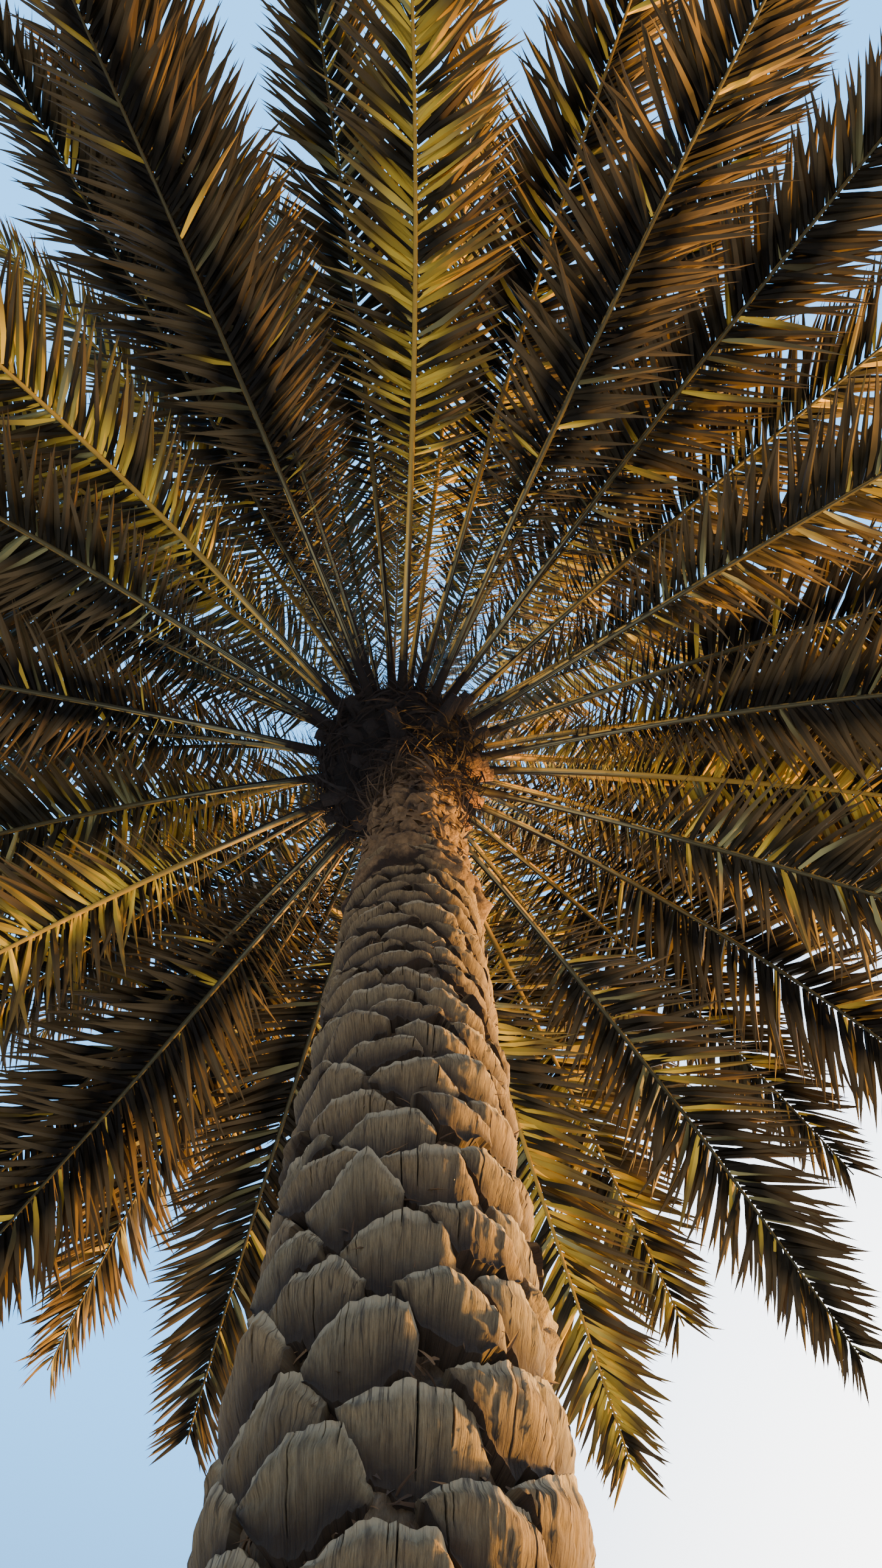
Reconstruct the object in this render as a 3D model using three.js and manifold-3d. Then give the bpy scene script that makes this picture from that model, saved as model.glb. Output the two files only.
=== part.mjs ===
// A date palm: a tall trunk clad in sawn-off leaf bases, under a ball-shaped crown of arching feather fronds.
// Millimetres, +Z up. The origin is the middle of the flat cut at ground level. The trunk leans a little to -X.
// The leaf bases and the fronds above them follow one spiral, a golden angle from each to the next.
import * as THREE from "three";
import { mergeVertices } from "three/addons/utils/BufferGeometryUtils.js";
import Module from "manifold-3d";

const wasm = await Module();
wasm.setup();

// Driving dimensions
const TRUNK_HEIGHT = 8450; // to the top of the sawn leaf bases
const FOOT_RADIUS = 226; // the stem itself, between the leaf bases
const NECK_RADIUS = 190;
const ROOT_FLARE = 95;
const FLARE_HEIGHT = 330;
const LEAN = 0.012; // sideways run for each unit of height
const BOW = 45; // how far the middle of the trunk stands out from a straight line
const TOP_BEND = 115; // how far the crown's heart sits to the -X side of the neck

const LOWEST_BASE = 70; // height of the first leaf base
const BASE_STEP_LOW = 22; // rise from one leaf base to the next, at the foot
const BASE_STEP_HIGH = 15.5; // and at the top
const LIP_LOW = 66; // how far a sawn lip stands out, at the foot
const LIP_HIGH = 46; // and where the shaved neck starts
const SHAVED_FROM = 6400; // the neck above this was shaved nearly flush
const SHAVED_LIP = 15;
const SHAVED_SWELL = 34;
const STUBS_FROM = 8150; // above this the newest stalks were sawn off longer
const STUB_LIP = 60;

const CROWN_TOP = 9480; // flat top of the crown's heart, which the bud sits on
const CROWN_TOP_RADIUS = 200;
const BUD_TOP = 9900;
const BUD_FOOT_RADIUS = 112;
const BUD_TIP_RADIUS = 66;

const FRONDS = 74; // living fronds, oldest and lowest first
const SINGLE_FRONDS = 54; // the older ones, each its own piece; the rest rise from the bud in four groups
const LOWEST_ROOT = 8700; // heights at which the oldest and youngest single fronds are rooted
const HIGHEST_ROOT = 9410;
const FROND_LENGTH = 5000;
const FAVOURED_SIDE = 0.14; // share by which fronds to the -Y side are longer, and those opposite shorter
const YOUNG_SHORTER = 0.36; // share of that length which the youngest frond lacks
const LOWEST_SLOPE = -0.34; // sine of the mean slope of the oldest frond
const HIGHEST_SLOPE = 0.995; // and of the youngest
const RISE_CURVE = 1.5; // how much of the rise from one to the other is kept for the younger fronds
const LEAST_DROOP = 12; // degrees by which the youngest frond arches over from root to tip
const MORE_DROOP = 60; // and how much more the oldest does
const STALK_BASE = 104; // widths of the stalk where it leaves the heart, above that, and at the tip
const STALK_WIDTH = 54;
const STALK_TIP = 13;
const YOUNG_STALK = 0.55; // share of that width a young frond has
const BARE = 0.205; // share of a frond that is bare stalk
const LONGEST_LEAFLET = 720;
const LEAFY_SEGMENTS = 15;
const YOUNG_SEGMENTS = 9;
const SPEAR_LENGTH = 2350; // the longest unopened leaf
const SHORTER_SPEAR = 220; // and how much shorter each next one is

const CLEAR = 0.3; // gap between pieces that meet
const SOCKET_CLEAR = 0.35; // the same measured level, as the heart's side slopes
const APART = 45; // least difference between a leaflet's distance to its own rib and to another frond's

const DEGREE = Math.PI / 180;
const GOLDEN_ANGLE = -137.50776 * DEGREE; // each leaf is set this far clockwise from the one below it
const SPIRAL_START = 11 * DEGREE;
const UP = new THREE.Vector3(0, 0, 1);

const mix = THREE.MathUtils.lerp;
const step = THREE.MathUtils.smoothstep;

// A value from 0 to 1 that is spread evenly over the fronds, different for each trait
const TRAIT = { length: 0.7549, roll: 0.5698, sweep: 0.3247, droop: 0.8192, turn: 0.1459 };
const spread = (k, trait) => (k * trait) % 1;

// The trunk

const axisAt = (z) =>
  new THREE.Vector3(
    -LEAN * z - TOP_BEND * step(z, 8300, 8900),
    BOW * Math.sin((Math.PI * z) / CROWN_TOP),
    z,
  );

function stemRadius(z) {
  const taper = mix(FOOT_RADIUS, NECK_RADIUS, z / TRUNK_HEIGHT);
  const flare = ROOT_FLARE * Math.exp(-z / FLARE_HEIGHT);
  return taper + flare + SHAVED_SWELL * step(z, SHAVED_FROM - 60, SHAVED_FROM + 60);
}

function lipDepth(z) {
  if (z > STUBS_FROM) return mix(SHAVED_LIP, STUB_LIP, step(z, STUBS_FROM, TRUNK_HEIGHT));
  if (z > SHAVED_FROM) return SHAVED_LIP;
  return mix(LIP_LOW, LIP_HIGH, z / SHAVED_FROM);
}

const onTrunk = (turn, z, radius) =>
  axisAt(z).add(new THREE.Vector3(Math.cos(turn) * radius, Math.sin(turn) * radius, 0));

// The corners between leaf bases lie on a spiral. Each leaf base spans four of them: its foot, the corners 8
// and 5 places further on to its left and right, and the one 13 places on, above it.
const TO_LEFT = 8;
const TO_RIGHT = 5;
const TO_TOP = 13;

function spiralCorners() {
  const corners = [];
  for (let z = LOWEST_BASE; corners.length < TO_TOP || z < TRUNK_HEIGHT; ) {
    corners.push({ turn: SPIRAL_START + corners.length * GOLDEN_ANGLE, z });
    z += mix(BASE_STEP_LOW, BASE_STEP_HIGH, z / TRUNK_HEIGHT);
  }
  return corners;
}

const CORNERS = spiralCorners();
const LEAF_BASES = CORNERS.length - TO_TOP;

// The heart of the crown, which the living leaf bases sit on: height and radius
const HEART = [
  [8540, 262],
  [8640, 400],
  [8800, 452],
  [9050, 430],
  [9280, 310],
  [CROWN_TOP, CROWN_TOP_RADIUS],
];

function heartRadius(z) {
  const i = Math.max(1, HEART.findIndex(([height]) => height >= z));
  const [[low, from], [high, to]] = [HEART[i - 1], HEART[i]];
  return mix(from, to, (z - low) / (high - low));
}

// A point of leaf base k's sawn lip, which stands out between its side corner and its top corner
const LIP_SHARE = 0.4;

function lipPoint(k, side, more) {
  const [corner, top] = [CORNERS[k + side], CORNERS[k + TO_TOP]];
  const turn = corner.turn + LIP_SHARE * nearest(top.turn - corner.turn);
  const z = mix(corner.z, top.z, LIP_SHARE);
  return onTrunk(turn, z, stemRadius(z) + lipDepth(z) + more);
}

// An angle brought to within half a turn of zero
const nearest = (angle) => angle - 2 * Math.PI * Math.round(angle / (2 * Math.PI));

// Corners of one turn of the spiral from corner `first`, in order of their angle
function ringFrom(first) {
  const ring = [...Array(TO_TOP).keys()];
  const angle = (j) => (((j * GOLDEN_ANGLE) / (2 * Math.PI)) % 1 + 1) % 1;
  return ring.sort((a, b) => angle(a) - angle(b)).map((j) => first + j);
}

// The whole trunk from the ground to the flat top of the heart, with `more` added to its radius and to the
// height of that top
function trunkSolid(more = 0) {
  const points = CORNERS.map((c) => onTrunk(c.turn, c.z, stemRadius(c.z) + more));
  const faces = [];
  const add = (point) => points.push(point) - 1;
  for (let k = 0; k < LEAF_BASES; k++) {
    const [foot, left, right, top] = [k, k + TO_LEFT, k + TO_RIGHT, k + TO_TOP];
    const lipLeft = add(lipPoint(k, TO_LEFT, more));
    const lipRight = add(lipPoint(k, TO_RIGHT, more));
    faces.push([foot, right, lipRight], [foot, lipRight, lipLeft], [foot, lipLeft, left]);
    faces.push([lipRight, right, top], [lipLeft, lipRight, top], [lipLeft, top, left]);
  }
  const band = (low, high) =>
    low.forEach((a, i) => {
      const next = (i + 1) % low.length;
      faces.push([a, low[next], high[next]], [a, high[next], high[i]]);
    });
  const lid = (ring) => ring.slice(2).forEach((b, i) => faces.push([ring[0], ring[i + 1], b]));

  const foot = ringFrom(0);
  const ground = foot.map((j) => add(onTrunk(CORNERS[j].turn, 0, stemRadius(0) + more)));
  band(ground, foot);
  lid([...ground].reverse());
  let ring = ringFrom(LEAF_BASES);
  for (const [z, radius] of HEART) {
    const raised = z === CROWN_TOP ? more : 0;
    const turns = ringFrom(LEAF_BASES).map((j) => CORNERS[j].turn);
    const higher = turns.map((turn) => add(onTrunk(turn, z + raised, radius + more)));
    band(ring, higher);
    ring = higher;
  }
  lid(ring);
  return solidOf(points, faces);
}

// The fronds

// How frond k grows, from youth 0 for the oldest to 1 for the youngest. Its slope at the root is such that the
// slope of the whole, once it has drooped, comes to the mean one.
const DROOP_MEAN = 0.42; // mean of the droop's curve along the rib
const STEEPER_ROOT = 0.4; // how far the stalk's foot is turned from its own slope towards the upright

function habit(k) {
  const youth = k / (FRONDS - 1);
  const upright = 90 * DEGREE;
  const droop =
    (LEAST_DROOP + MORE_DROOP * (1 - youth ** 3)) * DEGREE * mix(0.85, 1.15, spread(k, TRAIT.droop));
  const slope = Math.asin(mix(LOWEST_SLOPE, HIGHEST_SLOPE, youth ** RISE_CURVE)) + DROOP_MEAN * droop;
  const turn = SPIRAL_START + (LEAF_BASES + k) * GOLDEN_ANGLE + mix(5, -5, spread(k, TRAIT.turn)) * DEGREE;
  const grown = FROND_LENGTH * (1 - FAVOURED_SIDE * Math.sin(turn));
  return {
    youth,
    droop,
    slope,
    rootSlope: mix(slope, upright, STEEPER_ROOT),
    length: grown * (1 - YOUNG_SHORTER * youth ** 4) * mix(0.93, 1, spread(k, TRAIT.length)),
    roll: mix(55, -55, spread(k, TRAIT.roll)) * DEGREE * (1 - 0.5 * youth),
    sweep: mix(9, -9, spread(k, TRAIT.sweep)) * DEGREE * (1 - youth ** 2),
    turn,
  };
}

const SETTLE = 260; // how soon a stalk leaves the slope of its root
const PATH_STEPS = 96;
const DROOP_CURVE = 1.45; // the droop gathers towards the tip

// The rib's line: from its root the stalk leaves steeply, settles to its own slope, then arches over
function ribLine(h, root, rootTurn) {
  const stations = [];
  const at = root.clone();
  const pace = h.length / PATH_STEPS;
  for (let i = 0; i <= PATH_STEPS; i++) {
    const u = i / PATH_STEPS;
    const settled = 1 - Math.exp((-u * h.length) / SETTLE);
    const slope = mix(h.rootSlope, h.slope, settled) - h.droop * u ** DROOP_CURVE;
    const turn = rootTurn + nearest(h.turn - rootTurn) * settled + h.sweep * u * u;
    const along = new THREE.Vector3(
      Math.cos(slope) * Math.cos(turn),
      Math.cos(slope) * Math.sin(turn),
      Math.sin(slope),
    );
    const across = new THREE.Vector3(-Math.sin(turn), Math.cos(turn), 0);
    const face = along.clone().cross(across);
    const roll = h.roll * u;
    stations.push({
      u,
      at: at.clone(),
      along,
      across: across.clone().multiplyScalar(Math.cos(roll)).addScaledVector(face, Math.sin(roll)),
      face: face.clone().multiplyScalar(Math.cos(roll)).addScaledVector(across, -Math.sin(roll)),
    });
    at.addScaledVector(along, pace);
  }
  return stations;
}

function stalkWidth(u, young) {
  const foot = (STALK_BASE - STALK_WIDTH) * Math.exp(-u / 0.035);
  return (young ? YOUNG_STALK : 1) * (mix(STALK_WIDTH, STALK_TIP, u) + foot);
}

// Length and direction of the leaflet at share x of the leafy part: the longest are before its middle
const leafletLength = (x) =>
  LONGEST_LEAFLET * (mix(0.22, 0.4, x) + 0.69 * Math.sin(Math.PI * x ** 0.8));

function leafletWay(station, x, side, youth) {
  const spreadOut = mix(mix(70, 38, x), mix(24, 16, x), youth ** 3) * DEGREE;
  const lift = mix(32, 14, x) * DEGREE;
  return station.along
    .clone()
    .multiplyScalar(Math.cos(spreadOut))
    .addScaledVector(station.across, side * Math.sin(spreadOut) * Math.cos(lift))
    .addScaledVector(station.face, Math.sin(spreadOut) * Math.sin(lift));
}

function distanceToLine(point, line) {
  let least = Infinity;
  const nearestPoint = new THREE.Vector3();
  for (let i = 1; i < line.length; i++) {
    new THREE.Line3(line[i - 1], line[i]).closestPointToPoint(point, true, nearestPoint);
    least = Math.min(least, nearestPoint.distanceTo(point));
  }
  return least;
}

const SHORTEST = 0.28; // share of its length below which a leaflet is left out

// A leaflet's tip, drawn in until the leaflet keeps to the space nearest its own rib, or nothing where it can't
function leafletTip(from, way, length, own, others) {
  const near = others.filter((line) => distanceToLine(from, line) < 2.2 * length);
  for (let share = 1; share > SHORTEST; share -= 0.09) {
    const fits = [0.4, 0.7, 1].every((part) => {
      const point = from.clone().addScaledVector(way, length * share * part);
      const home = distanceToLine(point, own);
      return near.every((line) => distanceToLine(point, line) > home + APART);
    });
    if (fits) return from.clone().addScaledVector(way, length * share);
  }
  return null;
}

// One frond: a three-sided rib, flat below and ridged above, with a flat pointed leaflet on each side of each
// segment of its leafy part. Its outline is cut to the rib between one leaflet and the next.
const BARE_STATIONS = [0, 0.035, 0.08, 0.13, BARE];
const LAST_STATION = 0.97;
const TIP_LEAFLET = 150;

function frondSolid(frond, others, leafySegments) {
  const stations = [...BARE_STATIONS];
  for (let i = 1; i <= leafySegments; i++) stations.push(mix(BARE, LAST_STATION, i / leafySegments));
  const bareSegments = BARE_STATIONS.length - 1;
  const points = [];
  const faces = [];
  const rings = stations.map((u) => {
    const s = frond.line[Math.round(u * PATH_STEPS)];
    const width = stalkWidth(u, frond.young);
    const corner = (x, y) =>
      points.push(s.at.clone().addScaledVector(s.across, x * width).addScaledVector(s.face, y * width)) - 1;
    return { s, left: corner(-0.5, -0.25), right: corner(0.5, -0.25), top: corner(0, 0.3) };
  });
  const quad = (a, b, c, d) => faces.push([a, b, c], [a, c, d]);
  for (let i = 1; i < rings.length; i++) {
    const [a, b] = [rings[i - 1], rings[i]];
    quad(a.left, a.right, b.right, b.left);
    const walls = [
      [1, a.right, a.top, b.top, b.right],
      [-1, a.top, a.left, b.left, b.top],
    ];
    for (const [side, ...wall] of walls) {
      const x = (i - bareSegments - 0.5) / leafySegments;
      const from = a.s.at.clone().lerp(b.s.at, 0.5);
      const tip =
        i > bareSegments &&
        leafletTip(from, leafletWay(b.s, x, side, frond.habit.youth), leafletLength(x), frond.coarse, others);
      if (tip) {
        const apex = points.push(tip) - 1;
        wall.forEach((corner, j) => faces.push([corner, wall[(j + 1) % 4], apex]));
      } else quad(...wall);
    }
  }
  const last = rings[rings.length - 1];
  const end = points.push(frond.line[PATH_STEPS].at.clone().addScaledVector(last.s.along, TIP_LEAFLET)) - 1;
  faces.push([last.left, last.right, end], [last.right, last.top, end], [last.top, last.left, end]);
  faces.push([rings[0].right, rings[0].left, rings[0].top]);
  return solidOf(points, faces);
}

// An unopened leaf: a slim four-sided spindle that stands in the bud and leans a little out of its quarter
const SPEAR_HALF_WIDTH = 26;

function planSpear(quarter) {
  const turn = (quarter + 0.5) * (Math.PI / 2);
  const out = new THREE.Vector3(Math.cos(turn), Math.sin(turn), 0);
  const foot = axisAt(CROWN_TOP).setZ(BUD_TOP - 40).addScaledVector(out, 38);
  const length = SPEAR_LENGTH - SHORTER_SPEAR * (3 - quarter);
  const tip = foot.clone().addScaledVector(out, 70).addScaledVector(UP, length);
  return { quarter, coarse: [foot, foot.clone().lerp(tip, 0.5), tip] };
}

function spearSolid(spear) {
  const [foot, middle, tip] = spear.coarse;
  const points = [];
  const faces = [];
  const square = (at, half) =>
    [[1, 0], [0, 1], [-1, 0], [0, -1]].map(
      ([x, y]) => points.push(at.clone().add(new THREE.Vector3(x * half, y * half, 0))) - 1,
    );
  const low = square(foot, 0.8 * SPEAR_HALF_WIDTH);
  const high = square(foot.clone().lerp(middle, 0.6), SPEAR_HALF_WIDTH);
  const end = points.push(tip) - 1;
  for (let i = 0; i < 4; i++) {
    const j = (i + 1) % 4;
    faces.push([low[i], low[j], high[j]], [low[i], high[j], high[i]], [high[i], high[j], end]);
  }
  faces.push([low[0], low[2], low[1]], [low[0], low[3], low[2]]);
  return solidOf(points, faces);
}

// Solids and meshes

function solidOf(points, faces) {
  return new wasm.Manifold(
    new wasm.Mesh({
      numProp: 3,
      vertProperties: new Float32Array(points.flatMap((p) => [p.x, p.y, p.z])),
      triVerts: new Uint32Array(faces.flat()),
    }),
  );
}

function solidOfGeometry(geometry) {
  geometry.deleteAttribute("normal");
  geometry.deleteAttribute("uv");
  const merged = mergeVertices(geometry, 1e-3);
  return new wasm.Manifold(
    new wasm.Mesh({
      numProp: 3,
      vertProperties: merged.attributes.position.array,
      triVerts: new Uint32Array(merged.index.array),
    }),
  );
}

// The largest body of a solid, so that a scrap cut loose is dropped
function mainBody(solid) {
  return solid.decompose().reduce((a, b) => (b.volume() > a.volume() ? b : a));
}

function meshOf(name, solid, material) {
  const mesh = solid.getMesh();
  const geometry = new THREE.BufferGeometry()
    .setAttribute("position", new THREE.BufferAttribute(mesh.vertProperties, 3))
    .setIndex(new THREE.BufferAttribute(mesh.triVerts, 1))
    .toNonIndexed();
  geometry.computeVertexNormals();
  const made = new THREE.Mesh(geometry, material);
  made.name = name;
  return made;
}

const bark = () => new THREE.MeshStandardMaterial({ color: 0x8b7a65, roughness: 0.95, metalness: 0 });
const leaf = () => new THREE.MeshStandardMaterial({ color: 0x59622f, roughness: 0.6, metalness: 0 });
const youngLeaf = () => new THREE.MeshStandardMaterial({ color: 0x6d7a4a, roughness: 0.55, metalness: 0 });

// The bud: a short cone on the heart's flat top, in four quarters, each carrying its own young fronds
const BUD_FROM = CROWN_TOP + CLEAR;
const budRadius = (z) => mix(BUD_FOOT_RADIUS, BUD_TIP_RADIUS, (z - BUD_FROM) / (BUD_TOP - BUD_FROM));

function budQuarter(quarter) {
  const profile = [
    [0, BUD_FROM],
    [budRadius(BUD_FROM), BUD_FROM],
    [budRadius(BUD_TOP), BUD_TOP],
    [0, BUD_TOP],
  ].map(([r, z]) => new THREE.Vector2(r, z));
  const middle = axisAt(CROWN_TOP);
  const lathed = new THREE.LatheGeometry(profile, 16).rotateX(Math.PI / 2).translate(middle.x, middle.y, 0);
  const side = 2 * BUD_FOOT_RADIUS;
  const block = new THREE.BoxGeometry(side, side, side + BUD_TOP)
    .translate(side / 2 + CLEAR / 2, side / 2 + CLEAR / 2, BUD_TOP / 2)
    .rotateZ((quarter * Math.PI) / 2)
    .translate(middle.x, middle.y, 0);
  return solidOfGeometry(lathed).intersect(solidOfGeometry(block));
}

// Where frond k is rooted. A young one's root keeps to the middle of its quarter of the bud.
const SUNK = 70; // how deep a root starts inside the heart
const QUARTER_TURN = Math.PI / 2;

function planFrond(k) {
  const h = habit(k);
  const young = k >= SINGLE_FRONDS;
  const quarters = 4 + ((h.turn / QUARTER_TURN) % 4); // from 0 to 4, as every turn is negative
  const quarter = Math.floor(quarters);
  let [z, radius, rootTurn] = [0, 0, quarters * QUARTER_TURN];
  if (young) {
    z = mix(BUD_FROM + 90, BUD_TOP - 110, (k - SINGLE_FRONDS) / (FRONDS - SINGLE_FRONDS));
    radius = 0.72 * budRadius(z);
    rootTurn = (quarter + mix(0.36, 0.64, quarters - quarter)) * QUARTER_TURN;
  } else {
    z = mix(LOWEST_ROOT, HIGHEST_ROOT, k / (SINGLE_FRONDS - 1));
    radius = heartRadius(z) - SUNK;
  }
  const middle = axisAt(young ? CROWN_TOP : z);
  const root = new THREE.Vector3(
    middle.x + radius * Math.cos(rootTurn),
    middle.y + radius * Math.sin(rootTurn),
    z,
  );
  const line = ribLine(h, root, rootTurn);
  const coarse = line.filter((_, i) => i % 6 === 0).map((s) => s.at);
  return { k, habit: h, young, quarter, line, coarse };
}

const palm = new THREE.Group();
palm.add(meshOf("trunk", trunkSolid(), bark()));

const fronds = [...Array(FRONDS).keys()].map(planFrond);
const spears = [0, 1, 2, 3].map(planSpear);
const othersThan = (frond) => [...fronds, ...spears].filter((f) => f !== frond).map((f) => f.coarse);
const socket = trunkSolid(SOCKET_CLEAR);

for (const frond of fronds.filter((f) => !f.young)) {
  const solid = frondSolid(frond, othersThan(frond), LEAFY_SEGMENTS).subtract(socket);
  palm.add(meshOf("frond_" + String(frond.k + 1).padStart(2, "0"), mainBody(solid), leaf()));
}

for (const spear of spears) {
  const group = fronds.filter((f) => f.young && f.quarter === spear.quarter);
  const solids = group.map((frond) => frondSolid(frond, othersThan(frond), YOUNG_SEGMENTS));
  const whole = wasm.Manifold.union([budQuarter(spear.quarter), spearSolid(spear), ...solids]);
  palm.add(meshOf("young_fronds_" + (spear.quarter + 1), mainBody(whole), youngLeaf()));
}

export default palm;
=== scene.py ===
"""A date palm 13.3 m tall, seen up its trunk. Metres, +Z up, with its foot on the ground at the origin."""

import math

import bpy
import numpy as np
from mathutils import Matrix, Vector


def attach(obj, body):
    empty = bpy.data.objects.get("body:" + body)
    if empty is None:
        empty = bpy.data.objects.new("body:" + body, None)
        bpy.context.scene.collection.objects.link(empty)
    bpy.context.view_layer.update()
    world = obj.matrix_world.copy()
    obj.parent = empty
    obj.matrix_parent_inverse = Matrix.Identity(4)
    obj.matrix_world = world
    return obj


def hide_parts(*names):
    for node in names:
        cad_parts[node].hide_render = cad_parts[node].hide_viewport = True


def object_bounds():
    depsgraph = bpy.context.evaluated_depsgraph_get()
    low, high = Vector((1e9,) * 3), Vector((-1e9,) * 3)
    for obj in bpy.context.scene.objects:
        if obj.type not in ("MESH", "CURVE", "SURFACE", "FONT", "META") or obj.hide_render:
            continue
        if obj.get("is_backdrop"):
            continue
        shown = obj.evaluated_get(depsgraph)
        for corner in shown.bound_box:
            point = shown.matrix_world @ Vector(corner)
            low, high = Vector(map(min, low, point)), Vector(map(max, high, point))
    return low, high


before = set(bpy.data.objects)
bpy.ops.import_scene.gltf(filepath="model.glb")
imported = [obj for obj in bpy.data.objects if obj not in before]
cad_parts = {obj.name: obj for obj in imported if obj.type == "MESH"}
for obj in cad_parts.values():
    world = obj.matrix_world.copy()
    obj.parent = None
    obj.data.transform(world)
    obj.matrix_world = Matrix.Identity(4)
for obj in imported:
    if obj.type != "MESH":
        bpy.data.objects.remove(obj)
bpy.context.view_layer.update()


# The studio: a pale floor at ground level, soft light from a pale surround, and on the right a low warm
# lamp far off and a warm panel as high as the trunk. The camera stands close to the trunk at eye height
# and looks almost straight up it.
PHOTO_HEIGHT = 2576  # pixels
FOCAL_LENGTH = 2085  # pixels
SENSOR = 36.0  # mm
CAMERA_PLACE = (0.03, -1.26, 1.5)
CAMERA_ELEVATION = 79.5
LAMP_AZIMUTH, LAMP_ELEVATION, LAMP_SPREAD = 26, 4, 2.5
LAMP_STRENGTH, LAMP_COLOUR = 17, (1.0, 0.46, 0.055)
PANEL_PLACE, PANEL_AIM = (20.0, 8.0, 5.5), (-0.5, -0.5, 8.5)
PANEL_STRENGTH, PANEL_SIZE, PANEL_COLOUR = 9500, 1.0, (1.0, 0.54, 0.11)
FLOOR_HALF = 40

camera_data = bpy.data.cameras.new("camera")
camera_data.sensor_width = SENSOR
camera_data.lens = SENSOR * FOCAL_LENGTH / PHOTO_HEIGHT
camera_data.clip_end = 500
camera = bpy.data.objects.new("camera", camera_data)
camera.location = CAMERA_PLACE
camera.rotation_euler = (math.radians(90 + CAMERA_ELEVATION), 0, 0)
bpy.context.scene.collection.objects.link(camera)
bpy.context.scene.camera = camera


def shine(name, kind, strength, colour, towards):
    """A lamp that lights the tree from the direction towards it."""
    lamp = bpy.data.objects.new(name, bpy.data.lights.new(name, kind))
    lamp.data.energy = strength
    lamp.data.color = colour
    lamp.rotation_euler = towards.to_track_quat("Z", "Y").to_euler()
    bpy.context.scene.collection.objects.link(lamp)
    return lamp


azimuth, elevation = math.radians(LAMP_AZIMUTH), math.radians(LAMP_ELEVATION)
flat = math.cos(elevation)
lamp_way = Vector((flat * math.cos(azimuth), flat * math.sin(azimuth), math.sin(elevation)))
lamp = shine("low_lamp", "SUN", LAMP_STRENGTH, LAMP_COLOUR, lamp_way)
lamp.data.angle = math.radians(LAMP_SPREAD)
panel_way = Vector(PANEL_PLACE) - Vector(PANEL_AIM)
panel = shine("warm_panel", "AREA", PANEL_STRENGTH, PANEL_COLOUR, panel_way)
panel.data.size = PANEL_SIZE
panel.location = PANEL_PLACE


class Wire:
    """A socket of a node tree. Arithmetic on it adds Math nodes, and node() adds a node of any kind."""

    def __init__(self, tree, socket=None):
        self.tree = tree
        self.socket = socket

    def node(self, kind, settings=None, inputs=None, output=0):
        made = self.tree.nodes.new(kind)
        for name, value in (settings or {}).items():
            setattr(made, name, value)
        for key, value in (inputs or {}).items():
            if isinstance(value, Wire):
                self.tree.links.new(value.socket, made.inputs[key])
            else:
                made.inputs[key].default_value = value
        return Wire(self.tree, made.outputs[output])

    def math(self, operation, first, second=0.0):
        return self.node("ShaderNodeMath", {"operation": operation}, {0: first, 1: second})

    def __add__(self, other):
        return self.math("ADD", self, other)

    __radd__ = __add__

    def __mul__(self, other):
        return self.math("MULTIPLY", self, other)

    def __sub__(self, other):
        return self.math("SUBTRACT", self, other)

    def __rsub__(self, other):
        return self.math("SUBTRACT", other, self)

    def __pow__(self, other):
        return self.math("POWER", self, other)


def mixed(factor, low, high):
    """The colour low where the factor is 0, and high where it is 1."""
    return factor.node("ShaderNodeMix", {"data_type": "RGBA"}, {0: factor, 6: low, 7: high}, output=2)


def noise_on(vector, scale, detail=4.0, roughness=0.55):
    """Soft noise in cells whose count to the metre is the scale, one for all axes or one for each."""
    if isinstance(scale, tuple):
        vector = vector.node("ShaderNodeVectorMath", {"operation": "MULTIPLY"}, {0: vector, 1: scale})
        scale = 1.0
    return vector.node(
        "ShaderNodeTexNoise", {}, {"Vector": vector, "Scale": scale, "Detail": detail, "Roughness": roughness}
    )


def between(value, low, high):
    """The value brought to 0 at low and 1 at high, and held there outside them."""
    return value.node("ShaderNodeMapRange", {}, {"Value": value, "From Min": low, "From Max": high})


def painted(start, *titles):
    """The numbers that the points carry under each title."""
    return [start.node("ShaderNodeAttribute", {"attribute_name": title}, output=2) for title in titles]


def place_of(start):
    """The place on the object, in metres."""
    return start.node("ShaderNodeTexCoord", output=3)


def height_of(place):
    return place.node("ShaderNodeSeparateXYZ", {}, {0: place}, output=2)


def bumped(depth, strength, distance):
    return depth.node("ShaderNodeBump", {}, {"Strength": strength, "Distance": distance, "Height": depth})


def finish(name, look):
    """A material with the Principled sockets that look, given the start of its node tree, returns."""
    material = bpy.data.materials.new(name)
    material.use_nodes = True
    tree = material.node_tree
    for socket_name, value in look(Wire(tree)).items():
        socket = tree.nodes["Principled BSDF"].inputs[socket_name]
        if isinstance(value, Wire):
            tree.links.new(value.socket, socket)
        else:
            socket.default_value = value
    return material


def mesh_piece(name, points, faces, material, **attributes):
    """An object from arrays of points and faces, with one attribute of its points for each further array."""
    mesh = bpy.data.meshes.new(name)
    mesh.from_pydata(np.reshape(points, (-1, 3)).tolist(), [], [list(map(int, face)) for face in faces])
    for title, values in attributes.items():
        values = np.asarray(values, dtype=np.float32)
        threes = values.size == 3 * len(mesh.vertices)
        kind, field = ("FLOAT_VECTOR", "vector") if threes else ("FLOAT", "value")
        mesh.attributes.new(title, kind, "POINT").data.foreach_set(field, values.ravel())
    piece = bpy.data.objects.new(name, mesh)
    if material:
        mesh.materials.append(material)
    bpy.context.scene.collection.objects.link(piece)
    return piece


def floor_look(start):
    place = place_of(start)
    cloud = noise_on(place, 0.25)
    colour = mixed(cloud, (0.38, 0.38, 0.37, 1), (0.44, 0.44, 0.43, 1))
    return {"Base Color": colour, "Roughness": 0.9}


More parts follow.
